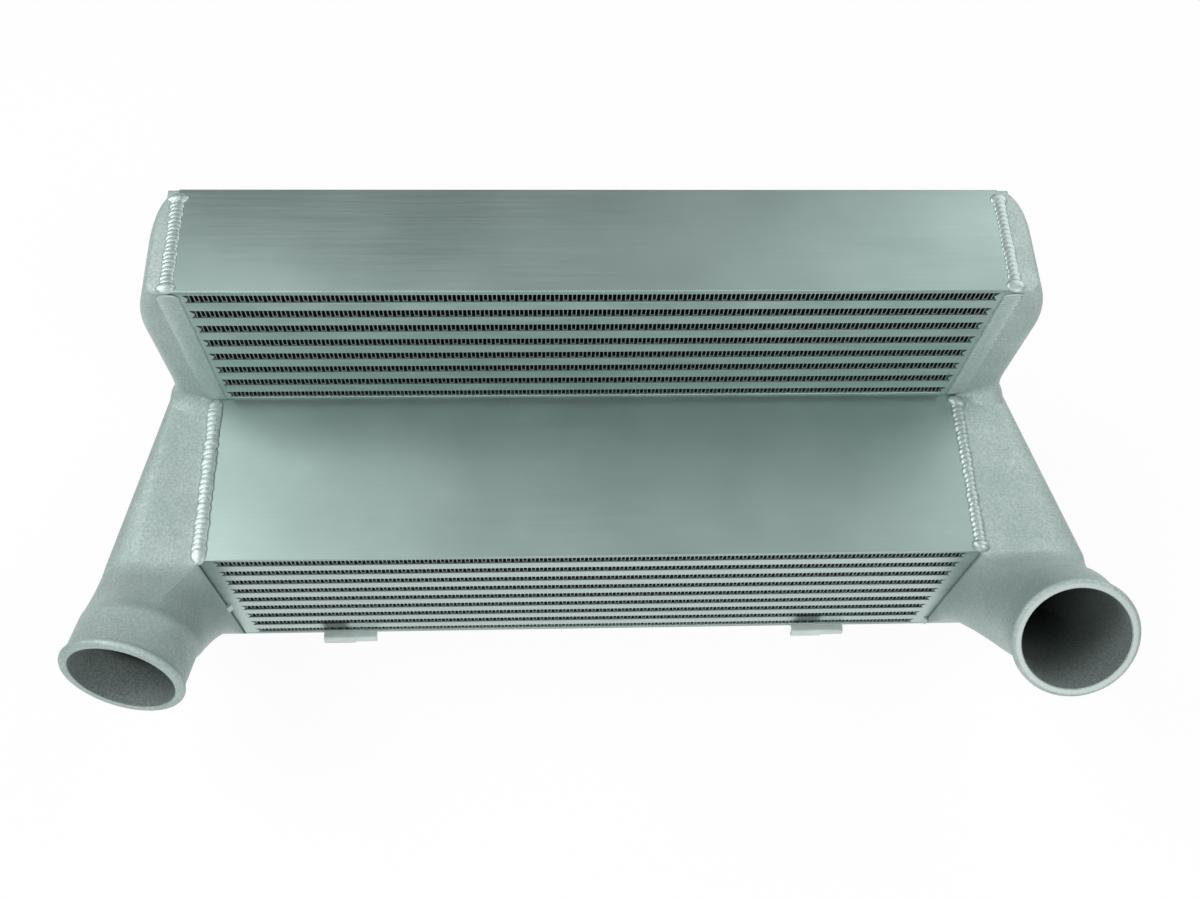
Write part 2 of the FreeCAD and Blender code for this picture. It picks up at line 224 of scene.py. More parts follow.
def foil(name, front_mm, rear_mm):
    """Folded aluminium foil: bright along its cut edges, with painted shade that darkens and dulls it
    inside the core.
    """
    material, tree, shader, place = start_material(name)
    y = add(tree, "ShaderNodeSeparateXYZ", {0: place}).outputs["Y"]
    from_front = maths(tree, "SUBTRACT", y, front_mm * MM)
    from_rear = maths(tree, "SUBTRACT", rear_mm * MM, y)
    depth = maths(tree, "MINIMUM", from_front, from_rear)
    # Painted shade: from its cut edges into the core's slots the foil turns dark, less metallic and rougher
    inside = spread(tree, depth, FOIL_SHADE_START * MM, FOIL_SHADE_FULL * MM, 0.0, 1.0)
    base = tint(tree, linear("#bacbc7"), linear("#101615"), inside)
    # Darker patch above the left part of each bracket
    darkened = tint(tree, base, linear("#1c2322"), bracket_dark_patch(tree, place))
    tree.links.new(darkened, shader.inputs["Base Color"])
    tree.links.new(spread(tree, inside, 0.0, 1.0, 0.8, 0.2), shader.inputs["Metallic"])
    tree.links.new(spread(tree, inside, 0.0, 1.0, 0.4, 0.7), shader.inputs["Roughness"])
    return material


def seam_shade(tree, place):
    """Painted shade in the open seam where the casting meets the core's front face, none where the tacks
    bridge it.
    """
    axes = add(tree, "ShaderNodeSeparateXYZ", {0: place}).outputs
    forward = maths(tree, "SUBTRACT", FRONT_Y * MM, axes["Y"])
    at_face = spread(tree, forward, SEAM_DARK * MM, SEAM_FADED * MM, 1.0, 0.0)
    ahead = spread(tree, forward, -SEAM_BEHIND * MM, 0.0, 0.0, 1.0)
    beside = near(tree, maths(tree, "ABSOLUTE", axes["X"]), CORE_HALF, SEAM_HALF, SEAM_SOFT)
    below = spread(tree, axes["Z"], SEAM_TOP * MM, SEAM_ENDED * MM, 1.0, 0.0)
    on_left = spread(tree, axes["X"], -CHANGEOVER * MM, CHANGEOVER * MM, 1.0, 0.0)
    middle, half = (TACK_LOW + TACK_HIGH) / 2, (TACK_HIGH - TACK_LOW) / 2
    bridge = maths(tree, "MULTIPLY", on_left, near(tree, axes["Z"], middle, half, TACK_SOFT))
    across = maths(tree, "MULTIPLY", at_face, ahead)
    mask = maths(tree, "MULTIPLY", across, maths(tree, "MULTIPLY", beside, below))
    depth = spread(tree, axes["X"], -CHANGEOVER * MM, CHANGEOVER * MM, SEAM_LEFT, SEAM_RIGHT)
    return maths(tree, "MULTIPLY", mask, maths(tree, "SUBTRACT", depth, bridge))


def cast_skin():
    """Sand-cast aluminium, blasted: pale, with a fine even grain that spreads every highlight."""
    material, tree, shader, place = start_material("sand-cast aluminium, blasted")
    grain = noise(tree, place, 1.7, 4.0, roughness=0.7)
    cloud = noise(tree, place, 28.0, 4.0)
    base = ramp(tree, cloud, [(0.3, "#b7c8c5"), (0.7, "#c7d6d3")])
    speck = spread(tree, grain, 0.35, 0.65, 0.0, 1.0)
    grainy = tint(tree, base, linear("#95a29e"), maths(tree, "MULTIPLY", speck, 0.55))
    # Painted shade along the open seam at the core's front face
    shaded_skin = tint(tree, grainy, linear("#1d2523"), seam_shade(tree, place))
    tree.links.new(shaded_skin, shader.inputs["Base Color"])
    tree.links.new(spread(tree, grain, 0.3, 0.7, 0.62, 0.75), shader.inputs["Roughness"])
    shader.inputs["Metallic"].default_value = 0.8
    bump(tree, shader, grain, 0.12, 0.5)
    return material


def cast_bore():
    """The casting's inside as it left the mould: dry and grainy, and dark from painted shade in the bore.
    """
    material, tree, shader, place = start_material("sand-cast aluminium, dark bore")
    grain = noise(tree, place, 1.3, 3.0, roughness=0.65)
    # Painted shade: the bore's colour is darker than the outer skin's
    base = ramp(tree, grain, [(0.35, "#727e7c"), (0.65, "#9ba7a4")])
    tree.links.new(base, shader.inputs["Base Color"])
    shader.inputs["Metallic"].default_value = 0.35
    shader.inputs["Roughness"].default_value = 0.62
    bump(tree, shader, grain, 0.15, 0.6)
    return material


def machined_face():
    """Turned aluminium face of a port: clean and bright."""
    material, tree, shader, place = start_material("turned aluminium face")
    grain = noise(tree, place, 0.5, 2.0)
    tree.links.new(ramp(tree, grain, [(0.3, "#b4c0bd"), (0.7, "#c8d2cf")]), shader.inputs["Base Color"])
    shader.inputs["Metallic"].default_value = 1.0
    shader.inputs["Roughness"].default_value = 0.45
    return material


def weld_metal():
    """Weld metal as laid: bright, with a fine grain in its colour and roughness."""
    material, tree, shader, place = start_material("aluminium weld metal")
    grain = noise(tree, place, 1.5, 2.0)
    tree.links.new(ramp(tree, grain, [(0.3, "#a9b9b5"), (0.7, "#c0cfcb")]), shader.inputs["Base Color"])
    tree.links.new(spread(tree, grain, 0.3, 0.7, 0.38, 0.5), shader.inputs["Roughness"])
    shader.inputs["Metallic"].default_value = 0.7
    bump(tree, shader, grain, 0.05, 0.4)
    return material


SHEET = rolled_sheet()
STRIP = folded_strip()
BAR = drawn_bar()
FINS_REAR_Y = REAR_Y - FIN_SETBACK
PARTING_REAR_Y = REAR_Y - PARTING_SETBACK
FOIL_LOWER = foil("folded aluminium foil, lower block", FRONT_Y + FIN_SETBACK, FINS_REAR_Y)
FOIL_UPPER = foil("folded aluminium foil, upper block", STEP_FRONT_Y + FIN_SETBACK, FINS_REAR_Y)
PARTING_LOWER = foil("parting sheet, lower block", FRONT_Y + PARTING_SETBACK, PARTING_REAR_Y)
PARTING_UPPER = foil("parting sheet, upper block", STEP_FRONT_Y + PARTING_SETBACK, PARTING_REAR_Y)
CAST = cast_skin()
BORE = cast_bore()
FACE = machined_face()
WELD = weld_metal()


# Meshes

SHARP_DEG = 40.0


def new_piece(name, points, faces, materials, indices=None):
    """A smooth-shaded mesh object from points in millimetres."""
    mesh = bpy.data.meshes.new(name)
    mesh.from_pydata([[c * MM for c in p] for p in points], [], faces)
    for material in materials:
        mesh.materials.append(material)
    if indices:
        mesh.polygons.foreach_set("material_index", indices)
    mesh.polygons.foreach_set("use_smooth", [True] * len(mesh.polygons))
    mesh.update()
    mesh.set_sharp_from_angle(angle=math.radians(SHARP_DEG))
    made = bpy.data.objects.new(name, mesh)
    bpy.context.scene.collection.objects.link(made)
    return made


def settle(piece, node):
    """Put a piece on the part's one body and in place of a solid."""
    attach(piece, "root")
    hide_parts(node)


def applied(holder, name):
    """The plain mesh object that a holder's modifiers give, in place of the holder."""
    bpy.context.view_layer.update()
    graph = bpy.context.evaluated_depsgraph_get()
    mesh = bpy.data.meshes.new_from_object(holder.evaluated_get(graph))
    mesh.name = name
    bpy.data.objects.remove(holder)
    made = bpy.data.objects.new(name, mesh)
    bpy.context.scene.collection.objects.link(made)
    return made


# Repeated pieces

def new_group(name, inputs):
    """An empty geometry tree with a geometry output and named inputs."""
    tree = bpy.data.node_groups.new(name, "GeometryNodeTree")
    tree.interface.new_socket("Geometry", in_out="OUTPUT", socket_type="NodeSocketGeometry")
    for label, kind in inputs:
        tree.interface.new_socket(label, in_out="INPUT", socket_type=kind)
    return tree, add(tree, "NodeGroupInput"), add(tree, "NodeGroupOutput")


def run_group(tree, name, values):
    """The plain mesh object that the tree makes with these values."""
    holder = bpy.data.objects.new(name + "_holder", bpy.data.meshes.new(name))
    bpy.context.scene.collection.objects.link(holder)
    modifier = holder.modifiers.new("nodes", "NODES")
    modifier.node_group = tree
    for item in tree.interface.items_tree:
        if item.in_out == "INPUT":
            modifier[item.identifier] = values[item.name]
    return applied(holder, name)


FLOAT = "NodeSocketFloat"
COUNT = "NodeSocketInt"


def fin_tree():
    """A folded strip of fin: upright legs, joined by folds that lie in turn on both sheets."""
    tree, given, out = new_group("folded fin", [
        ("Legs", COUNT), ("First X", FLOAT), ("Pitch", FLOAT), ("Gauge", FLOAT), ("Height", FLOAT),
        ("Depth", FLOAT), ("Middle Y", FLOAT), ("Low Z", FLOAT), ("Lean", FLOAT), ("Seed", COUNT),
        ("Material", "NodeSocketMaterial")])
    value = given.outputs
    middle_z = maths(tree, "MULTIPLY_ADD", value["Height"], 0.5, value["Low Z"])
    start = add(tree, "ShaderNodeCombineXYZ", {0: value["First X"], 1: value["Middle Y"], 2: middle_z})
    step = add(tree, "ShaderNodeCombineXYZ", {0: value["Pitch"]})
    line = add(tree, "GeometryNodeMeshLine", {
        "Count": value["Legs"], "Start Location": start.outputs[0], "Offset": step.outputs[0]})
    leg_size = add(tree, "ShaderNodeCombineXYZ", {0: value["Gauge"], 1: value["Depth"], 2: value["Height"]})
    leg = add(tree, "GeometryNodeMeshCube", {"Size": leg_size.outputs[0]})
    less = maths(tree, "SUBTRACT", 0.0, value["Lean"])
    lean = add(tree, "FunctionNodeRandomValue", {
        2: less, 3: value["Lean"], "Seed": value["Seed"]}, data_type="FLOAT")
    turn = add(tree, "ShaderNodeCombineXYZ", {1: lean.outputs[1]})
    legs = add(tree, "GeometryNodeInstanceOnPoints", {
        "Points": line.outputs[0], "Instance": leg.outputs[0], "Rotation": turn.outputs[0]})
    half = maths(tree, "MULTIPLY", value["Pitch"], 0.5)
    index = add(tree, "GeometryNodeInputIndex").outputs[0]
    side = maths(tree, "SUBTRACT", maths(tree, "MODULO", index, 2.0), 0.5)
    rise = maths(tree, "MULTIPLY", side, maths(tree, "SUBTRACT", value["Height"], value["Gauge"]))
    shift = add(tree, "ShaderNodeCombineXYZ", {0: half, 2: rise})
    moved = add(tree, "GeometryNodeSetPosition", {"Geometry": line.outputs[0], "Offset": shift.outputs[0]})
    wide = maths(tree, "ADD", value["Pitch"], value["Gauge"])
    fold_size = add(tree, "ShaderNodeCombineXYZ", {0: wide, 1: value["Depth"], 2: value["Gauge"]})
    fold = add(tree, "GeometryNodeMeshCube", {"Size": fold_size.outputs[0]})
    last = maths(tree, "SUBTRACT", value["Legs"], 1.0)
    not_last = add(tree, "FunctionNodeCompare", {0: index, 1: last},
                   data_type="FLOAT", operation="LESS_THAN")
    folds = add(tree, "GeometryNodeInstanceOnPoints", {
        "Points": moved.outputs[0], "Instance": fold.outputs[0], "Selection": not_last.outputs[0]})
    both = add(tree, "GeometryNodeJoinGeometry")
    tree.links.new(legs.outputs[0], both.inputs[0])
    tree.links.new(folds.outputs[0], both.inputs[0])
    real = add(tree, "GeometryNodeRealizeInstances", {0: both.outputs[0]})
    coloured = add(tree, "GeometryNodeSetMaterial", {
        "Geometry": real.outputs[0], "Material": value["Material"]})
    tree.links.new(coloured.outputs[0], out.inputs[0])
    return tree


FIN_LEGS = 184
FIN_GAUGE = 0.42
ROW_END_GAP = 0.6
# The most that a leg leans, in radians
FIN_LEAN = 0.035
# Keeps the upper rows' random draws apart from the lower ones'
UPPER_SEEDS = 20
FIN_TREE = fin_tree()


def build_fins(block, rows, front_y, material):
    """Fins at their real spacing, row by row, in place of the coarse ones of the solids."""
    depth = REAR_Y - front_y - 2 * FIN_SETBACK
    length = 2 * ROW_HALF - 2 * ROW_END_GAP
    pitch = (length - FIN_GAUGE) / (FIN_LEGS - 1)
    for row in range(1, rows + 1):
        node = f"ambient_fin_{block}_{row}"
        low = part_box(node)[0][2]
        piece = run_group(FIN_TREE, f"fin_{block}_{row}", {
            "Legs": FIN_LEGS, "First X": (FIN_GAUGE - length) / 2 * MM, "Pitch": pitch * MM,
            "Gauge": FIN_GAUGE * MM, "Height": FIN_HEIGHT * MM, "Depth": depth * MM,
            "Middle Y": (front_y + REAR_Y) / 2 * MM, "Low Z": low, "Lean": FIN_LEAN,
            "Seed": row + (UPPER_SEEDS if block == "upper" else 0), "Material": material})
        settle(piece, node)


build_fins("lower", 9, FRONT_Y, FOIL_LOWER)
build_fins("upper", 8, STEP_FRONT_Y, FOIL_UPPER)


# Castings

# Lengths in millimetres: outward from the core's end, forward from its front, the port's height
# above the underside and the crown's rise above the step.
# The powers bend the duct's floor and crown: below 1 they climb early on their way to the port.
# The turns are where each part of a section starts round the port, from outward by way of up.
LEFT_CASTING = {
    "side": -1, "port_out": 37.8, "port_reach": 79.7, "port_height": 156.0, "port_rise_deg": 14.8,
    "port_swing_deg": 9.5, "floor_power": 0.62, "crown_power": 1.6, "crown_rise": 5.0,
    "middle_out": 34.0, "front_out": 62.0, "upper_out": 25.4, "upper_top_out": 12.5,
    "port_turns_deg": (242.3, 108.0, 98.0, 78.0, 20.8, -20.8, -76.2, -117.7),
}
RIGHT_CASTING = {
    "side": 1, "port_out": 33.1, "port_reach": 77.2, "port_height": 198.8, "port_rise_deg": 47.4,
    "port_swing_deg": -4.9, "floor_power": 0.62, "crown_power": 1.8, "crown_rise": 5.0,
    "middle_out": 37.0, "front_out": 73.0, "upper_out": 29.2, "upper_top_out": 15.5,
    "port_turns_deg": (242.3, 126.0, 114.0, 88.0, 20.8, -20.8, -76.2, -117.7),
}
# Points along the inner edge, weld land, top, top roll, wall, foot and floor of a section
SECTION_PARTS = (20, 3, 6, 16, 10, 14, 10)
LAND = 5.5
REAR_OUT, REAR_CROWN, REAR_RISE, REAR_ROLL, REAR_FOOT = 11.5, 9.0, 1.0, 6.0, 3.0
MIDDLE_CROWN, MIDDLE_RISE, MIDDLE_ROLL, MIDDLE_FOOT = 27.0, 2.0, 9.0, 14.0
FRONT_CROWN, FRONT_FOOT, DUCT_WALL_TOP = 38.0, 24.0, 142.0
LEAST_RADIUS = 1.0
LEAST_WIDTH = 0.5
CROWN_POINT = sum(SECTION_PARTS[:3])
BODY_STEPS = 8
DUCT_STAGES = 5
STAGE_STEPS = 5
# How strongly the duct leaves along the tank's own top, and arrives along the tube
LEAVE_POWER = 3
ARRIVAL_PULL = 1.3


def line_points(start, end, count):
    """Evenly spaced points from a start, without the end."""
    return [start.lerp(end, i / count) for i in range(count)]


def quarter_points(start, end, count, start_level):
    """Quarter of an ellipse across X and Z that leaves start level, or else upright."""
    span = end - start
    points = []
    for i in range(count):
        turn = math.pi / 2 * i / count
        level, upright = math.sin(turn), 1 - math.cos(turn)
        across, climb = (level, upright) if start_level else (upright, level)
        points.append(start + Vector((span.x * across, span.y * i / count, span.z * climb)))
    return points


def lower_ring(y, out, crown_out, rise, roll, foot, inset, inner_x):
    """Section of the lower tank: nearly flat top, rolled outer edge and rounded foot."""
    x_out = CORE_HALF + out - inset
    foot = max(foot - inset, LEAST_RADIUS)
    weld_edge = Vector((inner_x, y, STEP_Z - inset))
    crown_x = min(CORE_HALF + crown_out, x_out - LEAST_WIDTH)
    land_edge = Vector((min(CORE_HALF + LAND + inset, crown_x - LEAST_WIDTH), y, weld_edge.z))
    crown = Vector((crown_x, y, STEP_Z + rise - inset))
    wall_top = Vector((x_out, y, crown.z - max(roll - inset, LEAST_RADIUS)))
    wall_foot = Vector((x_out, y, inset + foot))
    floor_out = Vector((x_out - foot, y, inset))
    floor_in = Vector((inner_x, y, inset))
    inner, land, top, rolled, wall, corner, floor = SECTION_PARTS
    points = line_points(floor_in, weld_edge, inner) + line_points(weld_edge, land_edge, land)
    points += line_points(land_edge, crown, top) + quarter_points(crown, wall_top, rolled, True)
    points += line_points(wall_top, wall_foot, wall)
    points += quarter_points(wall_foot, floor_out, corner, False)
    return points + line_points(floor_out, floor_in, floor)


def lower_rings(casting, inset, inner_x):
    """Sections from the rear wall to the front face of the core."""
    rise = casting["crown_rise"]
    stations = [
        (REAR_Y - inset, REAR_OUT, REAR_CROWN, REAR_RISE, REAR_ROLL, REAR_FOOT),
        (STEP_FRONT_Y, casting["middle_out"], MIDDLE_CROWN, MIDDLE_RISE, MIDDLE_ROLL, MIDDLE_FOOT),
        (FRONT_Y + inset, casting["front_out"], FRONT_CROWN, rise, STEP_Z + rise - DUCT_WALL_TOP,
         FRONT_FOOT),
    ]
    rings = []
    for behind, ahead in zip(stations, stations[1:]):
        for i in range(BODY_STEPS):
            values = [a + (b - a) * i / BODY_STEPS for a, b in zip(behind, ahead)]
            rings.append(lower_ring(*values, inset, inner_x))
    rings.append(lower_ring(*stations[-1], inset, inner_x))
    return rings


def port_frame(casting):
    """Centre of the mouth, the way it faces, and the outward and upward lines across it."""
    rise = math.radians(casting["port_rise_deg"])
    swing = math.radians(casting["port_swing_deg"])
    level = math.cos(rise)
    facing = Vector((level * math.sin(swing), -level * math.cos(swing), math.sin(rise)))
    centre = Vector((CORE_HALF + casting["port_out"], FRONT_Y - casting["port_reach"],
                     casting["port_height"]))
    out = (Vector((1, 0, 0)) - facing * facing.x).normalized()
    return centre, facing, out, facing.cross(out)


def port_ring(casting, radius, back):
    """Ring of points round the port, back from its mouth, paired with those of a lower section."""
    centre, facing, out, up = port_frame(casting)
    root = centre - facing * back
    points = []
    turns = casting["port_turns_deg"]
    for part, (first, last) in enumerate(zip(turns, turns[1:])):
        for i in range(SECTION_PARTS[part]):
            turn = math.radians(first + (last - first) * i / SECTION_PARTS[part])
            points.append(root + out * (radius * math.cos(turn)) + up * (radius * math.sin(turn)))
    return points


def duct_stages(casting, inset):
    """Sections of the duct as the solid has them, from the core's front to the root of the tube."""
    start = lower_rings(casting, inset, CORE_HALF + inset)[-1]
    end = port_ring(casting, TUBE_RADIUS - inset, TUBE_LENGTH)
    crown_z = start[CROWN_POINT].z
    floor_power, crown_power = casting["floor_power"], casting["crown_power"]
    stages = []
    for stage in range(DUCT_STAGES + 1):
        share = stage / DUCT_STAGES
        ring = []
        for a, b in zip(start, end):
            power = floor_power + (crown_power - floor_power) * a.z / crown_z
            level = a.lerp(b, share)
            ring.append(Vector((level.x, level.y, a.z + (b.z - a.z) * share ** power)))
        stages.append(ring)
    return stages


def duct_rings(casting, inset):
    """Smooth sections through the solid's own, which run into the tube without a corner."""
    stages = duct_stages(casting, inset)
    behind = lower_rings(casting, inset, CORE_HALF + inset)[-2]
    facing = port_frame(casting)[1]
    last = len(stages) - 1
    crown_z = stages[0][CROWN_POINT].z
    ways = [[(b - a).lerp((a - back).normalized() * (b - a).length, (a.z / crown_z) ** LEAVE_POWER)
             for back, a, b in zip(behind, stages[0], stages[1])]]
    for k in range(1, last):
        ways.append([(b - a) / 2 for a, b in zip(stages[k - 1], stages[k + 1])])
    ways.append([facing * (b - a).length * ARRIVAL_PULL for a, b in zip(stages[last - 1], stages[last])])
    rings = []
    for k in range(last):
        for step in range(STAGE_STEPS):
            t = step / STAGE_STEPS
            if k == 0 and step == 0:
                continue
            ring = []
            for a, b, leave, arrive in zip(stages[k], stages[k + 1], ways[k], ways[k + 1]):
                ring.append(a * (2 * t ** 3 - 3 * t ** 2 + 1) + leave * (t ** 3 - 2 * t ** 2 + t)
                            + b * (3 * t ** 2 - 2 * t ** 3) + arrive * (t ** 3 - t ** 2))
            rings.append(ring)
    return rings


def loft(rings):
    """Points and faces of a closed skin through the rings, with a flat cap on each end."""
    count = len(rings[0])
    points = [p for ring in rings for p in ring]
    faces = [[*range(count)][::-1], [(len(rings) - 1) * count + i for i in range(count)]]
    for k in range(len(rings) - 1):
        for i in range(count):
            j = (i + 1) % count
            faces.append([k * count + i, k * count + j, (k + 1) * count + j, (k + 1) * count + i])
    return points, faces


# Radius and distance back from the mouth, over the bead, across the mouth and into the bore
BEAD_SECTION = (
    (TUBE_RADIUS, 6.2), (TUBE_RADIUS + 0.7, 5.2), (BEAD_RADIUS - 0.5, 4.2), (BEAD_RADIUS, 3.0),
    (BEAD_RADIUS - 0.15, 1.8), (BEAD_RADIUS - 0.8, 0.7), (BEAD_RADIUS - 2.0, 0.1),
    (BEAD_RADIUS - 2.6, 0.0), (BORE_RADIUS + 0.6, 0.0), (BORE_RADIUS, 0.6),
)

# Places of the skin, the inside and the turned mouth in the casting's list of materials
SKIN, INSIDE, MOUTH = 0, 1, 2


def on_side(side, points, faces):
    """The points and faces at one end of the core, with every face still outward."""
    points = [(side * p.x, p.y, p.z) for p in points]
    return points, [face[::-1] for face in faces] if side > 0 else faces


def build_casting(casting, label):
    """The lower tank with its duct, beaded port and bore, as one skin round the wall."""
    rings = lower_rings(casting, 0.0, CORE_HALF) + duct_rings(casting, 0.0)
    rings.append(port_ring(casting, TUBE_RADIUS, TUBE_LENGTH))
    for radius, back in BEAD_SECTION:
        rings.append(port_ring(casting, radius, back))
    outside = len(rings)
    rings.append(port_ring(casting, BORE_RADIUS, TUBE_LENGTH))
    rings += duct_rings(casting, WALL)[::-1] + lower_rings(casting, WALL, CORE_HALF - WALL)[::-1]
    points, faces = loft(rings)
    count = len(rings[0])
    # The two caps come first, then one band of faces for each pair of rings
    bands = [0, len(rings)] + [k // count for k in range(len(faces) - 2)]
    indices = [INSIDE if band >= outside - 1 else SKIN for band in bands]
    side = casting["side"]
    if side > 0:
        # Only the right port was turned clean, on the flat between its bead and its bore
        flat = outside - 3
        indices = [MOUTH if band == flat else index for band, index in zip(bands, indices)]
    points, faces = on_side(side, points, faces)
    return new_piece(f"{label}_lower_tank", points, faces, [CAST, BORE, FACE], indices)


UPPER_SHOULDER = 47.0
UPPER_EDGE = 2.5
FRONT_CORNER = 7.0
REAR_ROUND = 30.0
REAR_NARROWING = 14.0
REAR_LAND = 7.0
# Keeps the upper tank's rear wall just clear of the lower one's, which lies in the same plane
REAR_PROUD = 0.05
FILLET_INNER = 3.0
FILLET_OUTER = 14.0
NECK_HEIGHT = 24.0
FILLET_START = 8.0
FILLET_GROWTH = 12.0
ROOT_DEPTH = 12.0
FIRST_FILLET_RING, FILLET_RING_PITCH, FILLET_RINGS = -4.0, 1.5, 24
WALL_RINGS, SHOULDER_RINGS, EDGE_RINGS = 4, 12, 5
FRONT_STEPS, CORNER_STEPS, SIDE_STEPS, ROUND_STEPS, LAND_STEPS, CORE_STEPS = 10, 8, 8, 10, 3, 8


def lower_section(casting, y):
    """Outer wall, crown, rise and roll of the lower tank beside the upper one, at a depth."""
    share = min(max((y - STEP_FRONT_Y) / (REAR_Y - STEP_FRONT_Y), 0.0), 1.0)
    middle = (casting["middle_out"], MIDDLE_CROWN, MIDDLE_RISE, MIDDLE_ROLL)
    rear = (REAR_OUT, REAR_CROWN, REAR_RISE, REAR_ROLL)
    return [a + (b - a) * share for a, b in zip(middle, rear)]


def lower_top(casting, x, y):
    """Height of the lower tank's top at a place beside the upper tank."""
    out, crown_out, rise, roll = lower_section(casting, y)
    x_out = CORE_HALF + out
    crown_x = min(CORE_HALF + crown_out, x_out - LEAST_WIDTH)
    land_x = min(CORE_HALF + LAND, crown_x - LEAST_WIDTH)
    if x <= land_x:
        return STEP_Z
    if x <= crown_x:
        return STEP_Z + rise * (x - land_x) / (crown_x - land_x)
    across = min((x - crown_x) / (x_out - crown_x), 1.0)
    return STEP_Z + rise - roll * (1 - math.sqrt(1 - across ** 2))


def flare(height, radius):
    """How far a wall stands out at a height above the surface that it blends into."""
    if height >= radius:
        return 0.0
    short = radius - max(height, 0.0)
    return radius - math.sqrt(radius ** 2 - short ** 2)


def fillet_radius(x):
    """Fillet at the foot of the upper tank: almost a corner at the core, wide at the outer wall."""
    share = min(max((x - CORE_HALF - FILLET_START) / FILLET_GROWTH, 0.0), 1.0)
    return FILLET_INNER + (FILLET_OUTER - FILLET_INNER) * share


def upper_outline(casting, z, inset):
    """Plan outline of the upper tank at a height, with its fillet onto the lower tank."""
    top_share = max(0.0, (z - (TOP_Z - UPPER_SHOULDER)) / UPPER_SHOULDER)
    fall = (casting["upper_out"] - casting["upper_top_out"]) * top_share ** 2
    x_out = CORE_HALF + casting["upper_out"] - fall - inset
    front, rear = STEP_FRONT_Y + inset, REAR_Y + REAR_PROUD - inset
    corner = FRONT_CORNER
    # Each entry is a place in plan, and how much the fillet moves it outward and forward
    path = [((CORE_HALF + (x_out - corner - CORE_HALF) * i / FRONT_STEPS, front), (0, -1))
            for i in range(FRONT_STEPS)]
    for i in range(CORNER_STEPS + 1):
        turn = math.pi / 2 * i / CORNER_STEPS
        path.append(((x_out - corner + corner * math.sin(turn), front + corner - corner * math.cos(turn)),
                     (math.sin(turn), -math.cos(turn))))
    start = front + corner
    end = rear - REAR_ROUND
    path += [((x_out, start + (end - start) * i / SIDE_STEPS), (1, 0))
             for i in range(1, SIDE_STEPS + 1)]
    for i in range(1, ROUND_STEPS + 1):
        turn = math.pi / 2 * i / ROUND_STEPS
        x = max(x_out - REAR_NARROWING * (1 - math.cos(turn)), CORE_HALF + REAR_LAND)
        path.append(((x, rear - REAR_ROUND * (1 - math.sin(turn))), (math.cos(turn), 0)))
    last_x = path[-1][0][0]
    path += [((last_x + (CORE_HALF - last_x) * i / LAND_STEPS, rear), (0, 0))
             for i in range(1, LAND_STEPS + 1)]
    path += [((CORE_HALF, rear + (front - rear) * i / CORE_STEPS), (0, 0))
             for i in range(1, CORE_STEPS)]
    outline = []
    for (x, y), (nx, ny) in path:
        above = z - lower_top(casting, x, y)
        room = max(CORE_HALF + lower_section(casting, y)[0] - LEAST_WIDTH - x, 0.0)
        aside = room * flare(above, NECK_HEIGHT) / NECK_HEIGHT
        outline.append(Vector((x + nx * aside, y + ny * flare(above, fillet_radius(x)), z)))
    return outline


def upper_rings(casting):
    """Level sections of the upper tank from inside the lower one to its rounded top edge."""
    heights = [STEP_Z - ROOT_DEPTH]
    heights += [STEP_Z + FIRST_FILLET_RING + FILLET_RING_PITCH * i for i in range(FILLET_RINGS)]
    low, high = heights[-1], TOP_Z - UPPER_SHOULDER
    heights += [low + (high - low) * i / WALL_RINGS for i in range(1, WALL_RINGS + 1)]
    low, high = high, TOP_Z - UPPER_EDGE
    heights += [low + (high - low) * i / SHOULDER_RINGS for i in range(1, SHOULDER_RINGS + 1)]
    rings = [upper_outline(casting, z, 0.0) for z in heights]
    for i in range(1, EDGE_RINGS + 1):
        turn = math.pi / 2 * i / EDGE_RINGS
        rings.append(upper_outline(casting, TOP_Z - UPPER_EDGE * (1 - math.sin(turn)),
                                   UPPER_EDGE * (1 - math.cos(turn))))
    return rings


def join(name, parts):
    """One mesh object from several, which are removed."""
    with bpy.context.temp_override(active_object=parts[0], object=parts[0], selected_objects=parts,
                                   selected_editable_objects=parts):
        bpy.ops.object.join()
    parts[0].name = name
    parts[0].data.name = name
    return parts[0]


def build_upper(casting, label):
    """The upper tank, from its root inside the lower one to its top."""
    points, faces = on_side(casting["side"], *loft(upper_rings(casting)))
    return new_piece(f"{label}_upper_tank", points, faces, [CAST])


for made, word in ((LEFT_CASTING, "left"), (RIGHT_CASTING, "right")):
    tank = join(f"{word}_tank_casting", [build_casting(made, word), build_upper(made, word)])
    settle(tank, f"{word}_tank")


# Welds

# These keep the random draws of one bead, and of its drops' widths and turns, apart
YAW_SEED = 7.0
COURSE_SEEDS, FIRST_SEED = 10, 3


